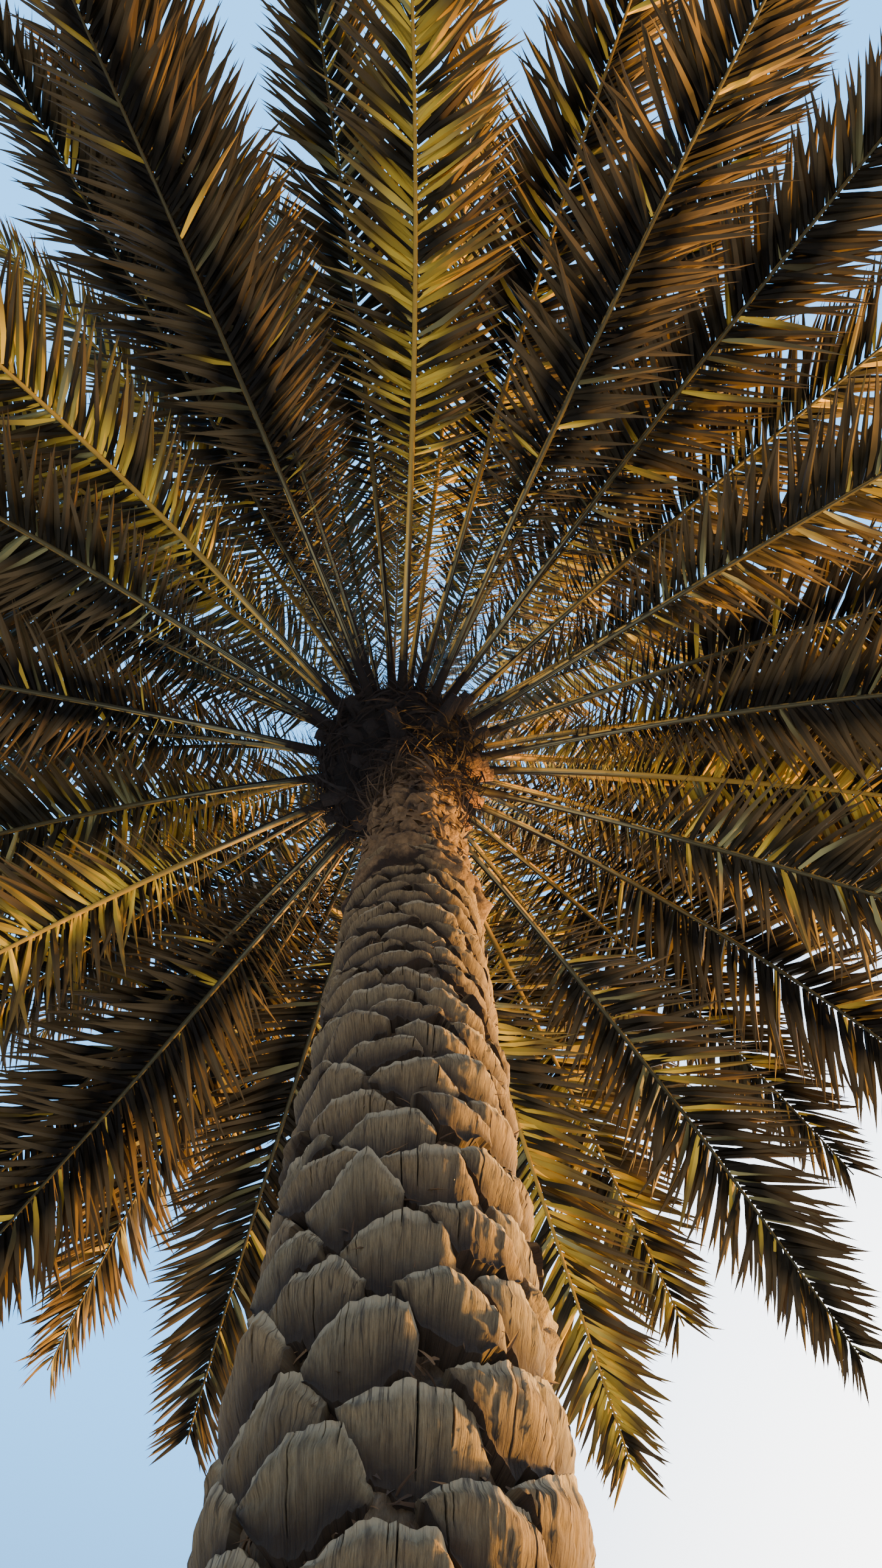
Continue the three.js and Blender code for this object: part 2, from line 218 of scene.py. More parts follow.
corners = np.array([(-1, -1), (1, -1), (1, 1), (-1, 1)]) * FLOOR_HALF
floor = mesh_piece("floor", [(x, y, 0) for x, y in corners], [(0, 1, 2, 3)], finish("floor", floor_look))
floor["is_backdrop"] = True

ZENITH, HORIZON, GLOW = (0.43, 1.45, 2.95, 1), (0.34, 0.225, 0.105, 1), (7.5, 7.4, 7.2, 1)
GLOW_WAY = (0.52, 0.62, 0.59)  # towards the brightest part of the surround
world = bpy.data.worlds.new("surround")
world.use_nodes = True
bpy.context.scene.world = world
way = Wire(world.node_tree).node("ShaderNodeTexCoord")
height = height_of(way)
towards_glow = way.node("ShaderNodeVectorMath", {"operation": "DOT_PRODUCT"}, {0: way, 1: GLOW_WAY}, output=1)
open_sky = mixed(between(height, 0.45, 0.80), HORIZON, ZENITH)
surround = mixed(between(towards_glow, 0.83, 0.985), open_sky, GLOW)
world.node_tree.links.new(surround.socket, world.node_tree.nodes["Background"].inputs["Color"])


# The stem: one column of fibrous wood, flared at the foot, that leans a little to -X and bends to the same
# side under the crown. It shows only as brown matting in the gaps between the sawn leaf bases that clad it.
TRUNK_HEIGHT = 8.45
FOOT_RADIUS, NECK_RADIUS = 0.226, 0.190
ROOT_FLARE, FLARE_HEIGHT = 0.095, 0.33
LEAN, BOW, TOP_BEND = 0.012, 0.045, 0.115
SHAVED_FROM, SHAVED_SWELL = 6.4, 0.034
CROWN_TOP = 9.48
TURN = 2 * math.pi
GOLDEN_ANGLE = math.radians(-137.50776)
SPIRAL_START = math.radians(11)


def mix(low, high, share):
    return low + (high - low) * share


def smooth(value, low, high):
    part = np.clip((value - low) / (high - low), 0, 1)
    return part * part * (3 - 2 * part)


def axis_at(z):
    """The middle of the trunk at each height, as an array of x and y."""
    z = np.asarray(z, dtype=float)
    x = -LEAN * z - TOP_BEND * smooth(z, 8.3, 8.9)
    return np.stack([x, BOW * np.sin(np.pi * z / CROWN_TOP)], axis=-1)


def stem_radius(z):
    swell = SHAVED_SWELL * smooth(z, SHAVED_FROM - 0.06, SHAVED_FROM + 0.06)
    return mix(FOOT_RADIUS, NECK_RADIUS, z / TRUNK_HEIGHT) + ROOT_FLARE * np.exp(-z / FLARE_HEIGHT) + swell


def around_trunk(turn, z, radius):
    """Points at a turn, height and radius about the leaning trunk, for arrays of any one shape."""
    middle = axis_at(z)
    return stacked(middle[..., 0] + radius * np.cos(turn), middle[..., 1] + radius * np.sin(turn), z)


def stacked(*parts):
    """Arrays of any shapes that fit together, as the coordinates of points."""
    return np.stack(np.broadcast_arrays(*parts), axis=-1)


def relief(points, seed):
    """Smooth noise from -1 to 1 at each point of an array, one cell a unit long."""
    cell = np.floor(points).astype(np.int64)
    part = points - cell
    part = part * part * (3 - 2 * part)
    total = np.zeros(points.shape[:-1])
    for corner in np.ndindex(2, 2, 2):
        at = cell + corner
        mixed_bits = at[..., 0] * 73856093 ^ at[..., 1] * 19349663
        mixed_bits = mixed_bits ^ at[..., 2] * 83492791 ^ seed * 2654435761
        mixed_bits = (mixed_bits ^ (mixed_bits >> 13)) * 1274126177
        value = ((mixed_bits ^ (mixed_bits >> 16)) & 0xFFFF) / 32767.5 - 1
        weight = np.prod(np.where(corner, part, 1 - part), axis=-1)
        total += value * weight
    return total


def grid_faces(rows, columns, closed=False):
    """Faces between neighbours of a grid of points, whose columns may run round and meet."""
    row, column = np.mgrid[0 : rows - 1, 0 : columns if closed else columns - 1]
    low = row * columns
    after = (column + 1) % columns
    high = low + columns
    return np.stack([low + column, low + after, high + after, high + column], -1).reshape(-1, 4)


def matting_look(start):
    place = place_of(start)
    strands = noise_on(place, (60, 60, 14), 6.0, 0.7)
    patches = noise_on(place, 7.0)
    pale = between(strands, 0.3, 0.7)
    brown = mixed(pale, (0.014, 0.009, 0.005, 1), (0.130, 0.085, 0.048, 1))
    grey = mixed(pale, (0.070, 0.052, 0.031, 1), (0.29, 0.225, 0.135, 1))
    colour = mixed(between(patches, 0.40, 0.62), brown, grey)
    bump = bumped(strands, 0.9, 0.02)
    return {"Base Color": colour, "Roughness": 0.95, "Normal": bump}


matting = finish("brown_matting", matting_look)
STEM_ROWS, STEM_COLUMNS = 420, 90
STEM_TOP = TRUNK_HEIGHT + 0.1
UNDER_NECK = 0.09  # how far it lies back behind the neck's crust
stem_z, stem_turn = np.meshgrid(
    np.linspace(0, STEM_TOP, STEM_ROWS), np.linspace(0, TURN, STEM_COLUMNS, endpoint=False), indexing="ij"
)
stem_grid = around_trunk(stem_turn, stem_z, stem_radius(stem_z) - 0.004)
lumps = 0.018 * relief(stem_grid * 14, 3) + 0.010 * relief(stem_grid * np.array([48, 48, 26]), 4) + 0.010
lumps[0] = 0
lumpy_radius = stem_radius(stem_z) - 0.006 + lumps - UNDER_NECK * smooth(stem_z, 5.7, 6.0)
stem_faces = grid_faces(STEM_ROWS, STEM_COLUMNS, closed=True).tolist()
stem_faces.append(list(range(STEM_COLUMNS))[::-1])
stem = mesh_piece("stem", around_trunk(stem_turn, stem_z, lumpy_radius), stem_faces, matting)
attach(stem, "root")
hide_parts("trunk")


# The sawn leaf bases. Each is the broad foot of an old frond, a grey plate of tough vertical fibre that
# leans out from the stem to a thick, split, weathered edge where a saw took the stalk off. They overlap in
# a spiral, and some have rotted down to crumbling lumps.
LOWEST_BASE = 0.07
BASE_STEP_LOW, BASE_STEP_HIGH = 0.022, 0.0155
LIP_LOW, LIP_HIGH = 0.066, 0.046
TO_LEFT, TO_RIGHT, TO_TOP = 8, 5, 13  # steps up the spiral to a leaf base's upper neighbours
HIDDEN = -0.012  # under the stem's surface

corner_z = []
z = LOWEST_BASE
while len(corner_z) < TO_TOP or z < TRUNK_HEIGHT:
    corner_z.append(z)
    z += mix(BASE_STEP_LOW, BASE_STEP_HIGH, z / TRUNK_HEIGHT)
corner_z = np.array(corner_z)
LEAF_BASES = len(corner_z) - TO_TOP


def nearest(angle):
    return angle - TURN * np.round(angle / TURN)


def leaf_base_arrays(chosen, columns, rows, seed):
    """Points, faces and attributes of the chosen leaf bases, each a grid from its foot to its sawn edge and
    in over the cut. Its outline is a cell of the spiral: narrow at the foot, widest at the shoulders, and
    peaked or flat above."""
    rng = np.random.default_rng(seed)
    count = len(chosen)

    def each(low, high):
        return rng.uniform(low, high, (count, 1))

    foot_z = corner_z[chosen][:, None]
    left_z, right_z = corner_z[chosen + TO_LEFT][:, None], corner_z[chosen + TO_RIGHT][:, None]
    top_z = corner_z[chosen + TO_TOP][:, None]
    left_turn, right_turn = nearest(TO_LEFT * GOLDEN_ANGLE), nearest(TO_RIGHT * GOLDEN_ANGLE)
    natural_peak = (nearest(TO_TOP * GOLDEN_ANGLE) - left_turn) / (right_turn - left_turn)
    rotten = rng.random((count, 1)) < 0.10 + 0.24 * (foot_z < 2.2)
    wear = np.where(rotten, each(0.7, 1.0), each(0.0, 0.35) ** 1.5)

    across = np.linspace(0, 1, columns)[None, :] + rng.uniform(-0.3, 0.3, (count, columns)) / columns
    across[:, 0], across[:, -1] = 0, 1
    cracked, split_from = np.zeros((2, count, columns))
    for middle in range(3, columns - 3, 3):
        deep = (rng.random(count) < 0.27) * rng.uniform(0.15, 1, count) ** 1.5
        gap = 0.003 + 0.007 * deep
        has = deep > 0
        across[has, middle - 1] = across[has, middle] - gap[has]
        across[has, middle + 1] = across[has, middle] + gap[has]
        cracked[:, middle] = deep
        split_from[:, middle] = 1 - rng.uniform(0.1, 1.1, count) * np.sqrt(deep)

    side = 2 * across - 1
    place = chosen[:, None] * 7.31

    def frill(cells, row):
        """Noise along an edge of each plate, with so many cells across it."""
        return relief(stacked(across * cells, place, row), seed)

    peak = natural_peak + each(-0.10, 0.24)
    roof = np.minimum(across / peak, (1 - across) / (1 - peak))
    flat_top = np.where(rng.random((count, 1)) < 0.4, each(0.80, 1.0), each(0.36, 0.62))
    flat_top = np.where(foot_z > 4.0 + each(-0.8, 0.8), each(0.28, 0.5), flat_top)
    shoulder_z = mix(left_z, right_z, across)
    rise = (top_z - mix(left_z, right_z, natural_peak)) * each(0.70, 1.15) * (1 - 0.4 * wear)
    coursed = smooth(foot_z, 3.2, 4.6)
    slant = each(0.0, 0.7) * (1 - 0.65 * coursed) * (across - 0.5)
    frayed = 0.003 * frill(34, 0) + 0.008 * frill(7, 0)
    rounded = 0.75 * np.sqrt(np.sin(np.pi * np.clip(across, 0.02, 0.98)))
    outline = np.where(wear > 0.6, rounded, np.minimum(roof, flat_top))
    edge_z = shoulder_z + rise * (0.16 + 0.84 * outline + slant) + frayed * (1 + 3 * wear)
    edge_z -= cracked * each(0.004, 0.018)

    middle_turn = mix(left_turn, right_turn, 0.5)
    breadth = mix(each(0.76, 1.0), each(0.94, 1.04), coursed)
    wide_turn = middle_turn + (mix(left_turn, right_turn, across) - middle_turn) * breadth
    ragged = 0.016 * frill(11, 4) + 0.006 * frill(34, 4)
    low_z = foot_z + each(-0.03, 0.035) + np.abs(side) ** 1.8 * 0.7 * (shoulder_z - foot_z) + ragged

    t = np.linspace(0, 1, rows)[None, :, None] ** 0.85
    turn = middle_turn + (wide_turn - middle_turn)[:, None, :] * (0.86 + 0.14 * np.sqrt(t))
    height = mix(low_z[:, None, :], edge_z[:, None, :], t)
    lip = mix(LIP_LOW, LIP_HIGH, np.clip(edge_z / SHAVED_FROM, 0, 1)) * each(0.9, 1.3) * (1 - 0.3 * wear)
    lean = lip * (1 - 0.34 * np.abs(side) ** 3) * (1 + each(-0.25, 0.2) * side) / (top_z - foot_z)
    risen = np.maximum(height - foot_z[:, :, None] + 0.01, 0)
    reach = 0.004 + lean[:, None, :] * risen * (1.55 - 0.55 * t) * (1 - 0.30 * smooth(t, 0.70, 1.0))
    fibre = relief(stacked(across[:, None, :] * 34, t * 1.6 + place[:, :, None], 0.5), seed + 4)
    billow = relief(stacked(across[:, None, :] * 9, t * 1.2 + place[:, :, None], 0.5), seed + 5)
    reach += (0.0030 * fibre + 0.0022 * billow) * smooth(t, 0.05, 0.8)
    split = smooth(t, split_from[:, None, :], split_from[:, None, :] + 0.2)
    reach -= cracked[:, None, :] * split * (0.007 + 0.012 * each(0.3, 1)[:, :, None])

    cut = np.array([[0.0, 0.0015], [0.2, 0.005], [0.55, 0.009], [1.25, 0.006]])
    cut_turn = mix(turn[:, -1:, :], middle_turn, (0.12 * cut[:, 0])[None, :, None])
    cut_height = height[:, -1:, :] + cut[None, :, 1, None]
    cut_reach = reach[:, -1:, :] * (1 - cut[None, :, 0, None])
    turn = np.concatenate([turn, cut_turn], axis=1)
    height = np.concatenate([height, cut_height], axis=1)
    reach = np.concatenate([reach, cut_reach], axis=1)

    spiral = (SPIRAL_START + chosen * GOLDEN_ANGLE)[:, None, None]
    height = np.maximum(height, 0.001)
    face = around_trunk(turn + spiral, height, stem_radius(height) + reach)
    lumps = (0.006 + 0.018 * wear)[:, :, None] * relief(face * 10, seed + 1)
    lumps += (0.0026 + 0.011 * wear)[:, :, None] * relief(face * 34, seed + 2)
    lumps += (0.0020 + 0.005 * wear)[:, :, None] * relief(face * 90, seed + 3)
    reach = reach + lumps * np.minimum(1, np.arange(reach.shape[1]) / 3)[None, :, None]

    turn = np.concatenate([turn[:, :, :1], turn, turn[:, :, -1:]], axis=2)
    height = np.concatenate([height[:, :, :1], height, height[:, :, -1:]], axis=2)
    sunk = np.full(reach[:, :, :1].shape, HIDDEN)
    reach = np.concatenate([sunk, reach, sunk], axis=2)
    reach[:, 0, :] = HIDDEN
    reach[:, 1, 1:-1] += 0.004
    points = around_trunk(turn + spiral, height, stem_radius(height) + reach)

    wide = columns + 2
    level = np.concatenate([t[0, :, 0], [1.0, 1.06, 1.12, 1.2]])[None, :, None] + np.zeros((count, 1, wide))
    flank = np.concatenate([across[:, :1], across, across[:, -1:]], axis=1)[:, None, :] + 0 * level
    size = (right_turn - left_turn) * stem_radius(foot_z)[:, :, None]
    grain = stacked(flank * size, level * (top_z - foot_z)[:, :, None], chosen[:, None, None] * 0.37)
    # Painted shade: dark rises in the cracks, towards each plate's foot, at its two sides and over the cut
    # behind its edge, where shade falls between the plates.
    crack = np.pad((cracked > 0)[:, None, :] * split, ((0, 0), (0, 4), (1, 1)), mode="edge")
    dark = np.maximum(crack * 0.9, 1 - smooth(level, 0.10, 0.78))
    dark = np.maximum(dark, smooth(np.abs(2 * flank - 1), 0.93, 1.0) * 0.55)
    dark = np.maximum(dark, smooth(level, 1.02, 1.2) * 0.7)
    tone = each(0, 1)[:, :, None] + 0 * level
    worn = wear[:, :, None] + 0 * level

    faces = grid_faces(level.shape[1], wide)[None] + (np.arange(count) * level.shape[1] * wide)[:, None, None]
    attributes = {"grain": grain, "dark": dark, "tone": tone, "worn": worn, "level": level}
    return points, faces.reshape(-1, 4), attributes


def leaf_base_look(start):
    grain = start.node("ShaderNodeAttribute", {"attribute_name": "grain"}, output=1)
    dark, tone, worn, level = painted(start, "dark", "tone", "worn", "level")
    place = place_of(start)
    fibres = noise_on(grain, (380, 14, 30), 5.0, 0.75)
    ribs = noise_on(grain, (95, 6, 30), 3.0)
    stains = noise_on(place, 6.0, 5.0, 0.6)
    threads = noise_on(grain, (85, 2.2, 30), 1.0) - 0.5
    seams = between(start.math("ABSOLUTE", threads), 0.016, 0.004) * between(stains, 0.40, 0.60)
    pits = noise_on(place, 55.0, 4.0, 0.65)
    pale = between(fibres, 0.34, 0.68)
    grey = mixed(pale, (0.150, 0.122, 0.064, 1), (0.43, 0.355, 0.195, 1))
    tan = mixed(pale, (0.150, 0.105, 0.048, 1), (0.43, 0.31, 0.145, 1))
    younger = between(height_of(place), 3.0, 7.5)
    weathered = mixed(between(tone * 0.6 + stains * 0.7 + younger, 0.35, 0.95), grey, tan)
    crumbled = mixed(between(pits, 0.35, 0.65), (0.085, 0.059, 0.028, 1), (0.38, 0.285, 0.140, 1))
    surface = mixed(worn * 0.75, weathered, crumbled)
    # A pale band along the sawn edge: partly the weathered edge's own colour, partly a painted highlight.
    rim = between(level + stains * 0.25 + fibres * 0.12, 0.98, 1.16) * (1 - dark) * 0.75
    weathered_and_highlit_rim = mixed(rim, surface, (0.60, 0.52, 0.33, 1))
    streaks = between(ribs, 0.55, 0.66) * between(level, 0.1, 0.8) * 0.6
    streaked = mixed(streaks, weathered_and_highlit_rim, (0.050, 0.034, 0.023, 1))
    seamed = mixed(seams * (1 - worn) * 0.7, streaked, (0.040, 0.027, 0.016, 1))
    # Painted shade: the colour goes to dark brown where dark is high, and a little more in the pits.
    colour = mixed(between(dark + pits * 0.25, 0.15, 1.05) * 0.93, seamed, (0.028, 0.017, 0.010, 1))
    depth = fibres * 0.45 + ribs * 0.8 - seams * 0.5 + pits * (0.25 + worn * 0.6)
    bump = bumped(depth, 0.9, 0.011)
    return {"Base Color": colour, "Roughness": 0.86 + fibres * 0.12, "Normal": bump}


sawn_fibre = finish("sawn_leaf_base", leaf_base_look)
bands = {  # the heights that a band lies between, and the columns and rows of each plate
    "foot": (0, 1.45, 30, 11),
    "lower": (1.45, 2.9, 56, 18),
    "middle": (2.9, 4.6, 42, 14),
    "upper": (4.6, 6.1, 30, 11),
}
for band, (low, high, columns, rows) in bands.items():
    feet = corner_z[:LEAF_BASES]
    chosen = np.flatnonzero((feet >= low) & (feet < high))
    points, faces, attributes = leaf_base_arrays(chosen, columns, rows, len(band))
    clad = mesh_piece("leaf_bases_" + band, points, faces, sawn_fibre, **attributes)
    clad.data.shade_smooth()
    clad.data.set_sharp_from_angle(angle=math.radians(38))
    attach(clad, "root")
    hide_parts("trunk")


# The neck: the youngest leaf bases, shaved right down when the crown was trimmed. What is left is a crust
# of papery tan lumps with pits between them, which darkens upward into the brown matting under the crown.
NECK_FROM, NECK_TO = 5.78, 8.60
NECK_ROWS, NECK_COLUMNS = 360, 150
NECK_SUNK = 0.042


def lathe(name, heights, radius_of, material, columns, closed_top=False):
    """A ring-by-ring surface about the trunk, whose radius radius_of gives at arrays of turns and heights."""
    level = np.asarray(heights)[:, None] + np.zeros((1, columns))
    turn = np.linspace(0, TURN, columns, endpoint=False)[None, :] + 0 * level
    radius, attributes = radius_of(turn, level)
    faces = grid_faces(len(heights), columns, closed=True).tolist()
    if closed_top:
        faces.append(list(range((len(heights) - 1) * columns, len(heights) * columns)))
    piece = mesh_piece(name, around_trunk(turn, level, radius), faces, material, **attributes)
    piece.data.shade_smooth()
    return piece


def shaved(level):
    """How much slimmer the shaved neck is than the stem clad in its leaf bases."""
    return NECK_SUNK * smooth(level - NECK_FROM, 0, 0.35)


def neck_radius(turn, level):
    base = stem_radius(level)
    risen = level - NECK_FROM
    grid = around_trunk(turn, level, base)
    sunk = np.abs(relief(grid * np.array([10, 10, 8.0]), 21)) ** 0.6
    pillows = 0.046 * sunk + 0.022 * relief(grid * 20, 22) + 0.010 * relief(grid * 55, 23)
    ledge = 0.020 * smooth(risen, 0, 0.07) * (1 - smooth(risen, 0.35, 0.9))
    shredded = 0.016 * relief(grid * np.array([45, 45, 6.0]), 24) * smooth(level, 7.7, 8.2)
    swell = 0.05 * smooth(level, 7.9, 8.5) + SHAVED_SWELL * (1 - smooth(level, 6.34, 6.46))
    crust = (pillows + ledge + 0.006) * smooth(risen, 0, 0.05)
    return base - 0.020 - shaved(level) + crust + shredded + swell, {"sunk": sunk}


def neck_look(start):
    sunk = painted(start, "sunk")[0]
    place = place_of(start)
    clouds = noise_on(place, 7.0, 5.0)
    paper = noise_on(place, (40, 40, 16), 6.0, 0.7)
    tan = mixed(between(paper, 0.3, 0.7), (0.075, 0.044, 0.020, 1), (0.31, 0.195, 0.088, 1))
    # Painted shade: the pits between the lumps go dark brown.
    pitted = mixed(between(sunk + paper * 0.5, 0.80, 0.45), tan, (0.030, 0.017, 0.009, 1))
    strands = mixed(paper, (0.012, 0.007, 0.004, 1), (0.080, 0.044, 0.023, 1))
    colour = mixed(between(height_of(place) + clouds * 0.8, 7.75, 8.35), pitted, strands)
    bump = bumped(paper * 0.8 + clouds * 0.5, 0.9, 0.018)
    return {"Base Color": colour, "Roughness": 0.92, "Normal": bump}


neck_levels = np.linspace(NECK_FROM, NECK_TO, NECK_ROWS)
neck = lathe("neck", neck_levels, neck_radius, finish("papery_neck", neck_look), NECK_COLUMNS)
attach(neck, "root")
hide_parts("trunk")


# The heart of the crown: the swollen top of the trunk, where the living stalks are rooted close together in
# a mat of coarse dark fibre. Its near-black colour is the fibre's dark brown deepened with painted shade.
HEART_Z = np.array([8.40, 8.54, 8.64, 8.80, 9.05, 9.28, CROWN_TOP])
HEART_RADIUS = np.array([0.225, 0.262, 0.400, 0.452, 0.430, 0.310, 0.200])
HEART_ROWS, HEART_COLUMNS = 80, 100


def heart_radius(z):
    return np.interp(z, HEART_Z, HEART_RADIUS)


def hairy_radius(turn, level):
    base = heart_radius(level)
    grid = around_trunk(turn, level, base)
    rough = 0.016 * relief(grid * 12, 11) + 0.010 * relief(grid * 30, 12)
    return base - 0.012 + rough, {}


def hair_look(start):
    place = place_of(start)
    strands = noise_on(place, (90, 90, 30), 6.0, 0.75)
    # Near black: the fibre's dark brown, deepened with painted shade.
    colour = mixed(between(strands, 0.3, 0.75), (0.002, 0.0013, 0.0008, 1), (0.014, 0.007, 0.0035, 1))
    bump = bumped(strands, 1.0, 0.03)
    return {"Base Color": colour, "Roughness": 0.95, "Normal": bump}


dark_hair_and_shade = finish("dark_fibre_and_painted_shade", hair_look)
heart_levels = np.linspace(HEART_Z[0], CROWN_TOP, HEART_ROWS)
heart = lathe("heart", heart_levels, hairy_radius, dark_hair_and_shade, HEART_COLUMNS, closed_top=True)
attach(heart, "root")
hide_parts("trunk")


# The fronds' stalks and ribs: tough, broad where they leave the heart and tapering to the tip, rounded below
# and ridged above. They are dark at the root and grey-green beyond it, with brown flanks and a thin yellow
# margin, and a few are painted golden, as if they had caught the sun.
FRONDS, SINGLE_FRONDS = 74, 54
LOWEST_ROOT, HIGHEST_ROOT = 8.70, 9.41
FROND_LENGTH, FAVOURED_SIDE, YOUNG_SHORTER = 5.00, 0.14, 0.36
LOWEST_SLOPE, HIGHEST_SLOPE, RISE_CURVE = -0.34, 0.995, 1.5
LEAST_DROOP, MORE_DROOP, DROOP_MEAN, DROOP_CURVE = 12, 60, 0.42, 1.45
STEEPER_ROOT, SETTLE = 0.4, 0.26
PATH_STEPS = 96
SUNK = 0.07
STALK_BASE, STALK_WIDTH, STALK_TIP = 0.104, 0.054, 0.013
GROWN_STALK, YOUNG_STALK = 0.84, 0.55  # shares of that width
BARE, LAST_STATION = 0.205, 0.97
BUD_FROM, BUD_TOP, BUD_FOOT_RADIUS, BUD_TIP_RADIUS = 9.4803, 9.90, 0.112, 0.066
SUNLIT_TURNS = np.radians([-84, -136, 4, 73, 157])  # the ways in which the golden fronds point
SUNLIT_EDGE = np.radians([5, 13])
# steps that deal a trait out evenly from frond to frond
TRAIT = {"length": 0.7549, "roll": 0.5698, "sweep": 0.3247, "droop": 0.8192, "turn": 0.1459}


def spread(k, trait):
    return (k * TRAIT[trait]) % 1


def plan_frond(k):
    """The rib's line and the directions along, across and square to it, by the rule of the part's solids."""
    youth = k / (FRONDS - 1)
    droop = math.radians(LEAST_DROOP + MORE_DROOP * (1 - youth**3)) * mix(0.85, 1.15, spread(k, "droop"))
    slope = math.asin(mix(LOWEST_SLOPE, HIGHEST_SLOPE, youth**RISE_CURVE)) + DROOP_MEAN * droop
    own_turn = SPIRAL_START + (LEAF_BASES + k) * GOLDEN_ANGLE + math.radians(mix(5, -5, spread(k, "turn")))
    length = FROND_LENGTH * (1 - FAVOURED_SIDE * math.sin(own_turn)) * (1 - YOUNG_SHORTER * youth**4)
    length *= mix(0.93, 1, spread(k, "length"))
    roll = math.radians(mix(55, -55, spread(k, "roll"))) * (1 - 0.5 * youth)
    sweep = math.radians(mix(9, -9, spread(k, "sweep"))) * (1 - youth**2)
    young = k >= SINGLE_FRONDS
    quarters = (own_turn / (TURN / 4)) % 4
    root_turn = quarters * TURN / 4
    if young:
        root_z = mix(BUD_FROM + 0.09, BUD_TOP - 0.11, (k - SINGLE_FRONDS) / (FRONDS - SINGLE_FRONDS))
        radius = 0.72 * mix(BUD_FOOT_RADIUS, BUD_TIP_RADIUS, (root_z - BUD_FROM) / (BUD_TOP - BUD_FROM))
        root_turn = (math.floor(quarters) + mix(0.36, 0.64, quarters % 1)) * TURN / 4
    else:
        root_z = mix(LOWEST_ROOT, HIGHEST_ROOT, k / (SINGLE_FRONDS - 1))
        radius = heart_radius(root_z) - SUNK
    x, y = axis_at(CROWN_TOP if young else root_z)
    root = np.array([x + radius * math.cos(root_turn), y + radius * math.sin(root_turn), root_z])

    u = np.arange(PATH_STEPS + 1) / PATH_STEPS
    settled = 1 - np.exp(-u * length / SETTLE)
    root_slope = mix(slope, math.pi / 2, STEEPER_ROOT)
    tilt = mix(root_slope, slope, settled) - droop * u**DROOP_CURVE
    turn = root_turn + nearest(own_turn - root_turn) * settled + sweep * u * u
    along = np.stack([np.cos(tilt) * np.cos(turn), np.cos(tilt) * np.sin(turn), np.sin(tilt)], -1)
    across = np.stack([-np.sin(turn), np.cos(turn), 0 * turn], -1)
    face = np.cross(along, across)
    rolled = (roll * u)[:, None]
    steps = np.vstack([np.zeros(3), np.cumsum(along[:-1], axis=0)]) * length / PATH_STEPS
    return {
        "youth": youth,
        "young": young,
        "gold": float(1 - smooth(np.abs(nearest(own_turn - SUNLIT_TURNS)).min(), *SUNLIT_EDGE)),
        "length": length,
        "at": root + steps,
        "along": along,
        "across": across * np.cos(rolled) + face * np.sin(rolled),
        "face": face * np.cos(rolled) - across * np.sin(rolled),
    }


def stalk_width(u, young):
    foot = (STALK_BASE - STALK_WIDTH) * np.exp(-u / 0.035)
    return (YOUNG_STALK if young else GROWN_STALK) * (mix(STALK_WIDTH, STALK_TIP, u) + foot)


def rib_section(u):
    """The outline of a rib across its width of 1, at each share u of its length, flat above at the root."""
    side = np.array([-0.50, -0.40, -0.17, 0.0, 0.17, 0.40, 0.50, 0.34, 0.12, 0.0, -0.12, -0.34])
    below = np.array([-0.06, -0.20, -0.27, -0.31, -0.27, -0.20, -0.06, 0, 0, 0, 0, 0])
    above = np.array([0, 0, 0, 0, 0, 0, 0, 0.14, 0.26, 0.31, 0.26, 0.14])
    ridge = smooth(u, 0.03, 0.3)[:, None]
    return np.broadcast_to(side, (len(u), len(side))), below + above * mix(0.3, 1.0, ridge)


def rib_look(start):
    reach, ring, tone, gold = painted(start, "reach", "ring", "tone", "gold")
    place = place_of(start)
    mottle = noise_on(place, 14.0, 5.0)
    lengthwise = start.node("ShaderNodeCombineXYZ", {}, {0: ring, 1: reach, 2: tone})
    lines = noise_on(lengthwise, (17, 4, 9))
    green = mixed(tone, (0.165, 0.180, 0.105, 1), (0.250, 0.225, 0.110, 1))
    brown = (0.010, 0.006, 0.003, 1)
    off_keel = start.math("ABSOLUTE", ring - 0.25) * 4.0
    striped = mixed(between(off_keel * 0.6 + lines * 1.5, 0.84, 1.02), green, brown)
    # Painted sunlight: the yellow margin widens on the golden fronds, and further out their ribs turn golden.
    margin = between(ring - gold * 0.09, 0.150, 0.110) * between(mottle + gold * 0.2, 0.44, 0.52)
    edged = mixed(margin, striped, (0.78, 0.46, 0.09, 1))
    leafy = mixed(between(reach, 0.20, 0.34) * 0.8, edged, (0.040, 0.036, 0.014, 1))
    sunny = mixed(gold * between(reach, 0.16, 0.34) * 0.8, leafy, (0.50, 0.31, 0.05, 1))
    rooted = mixed(between(reach + mottle * 0.08, 0.10, 0.165), brown, sunny)
    colour = mixed(between(mottle, 0.60, 0.75) * 0.5, rooted, (0.050, 0.032, 0.018, 1))
    bump = bumped(lines + mottle * 0.4, 0.5, 0.004)
    rough = 0.45 + mottle * 0.3
    return {"Base Color": colour, "Roughness": rough, "Specular IOR Level": 0.18, "Normal": bump}


rib_skin = finish("stalk_skin", rib_look)
fronds = [plan_frond(k) for k in range(FRONDS)]


def rib_rings(rib, index, u, width):
    """Rings of points about a rib at the stations of index, as an array of rows, columns and coordinates."""
    side, height = rib_section(u)
    x, y = (side * width[:, None])[..., None], (height * width[:, None])[..., None]
    at, across, face = (rib[key][index][:, None, :] for key in ("at", "across", "face"))
    return at + across * x + face * y


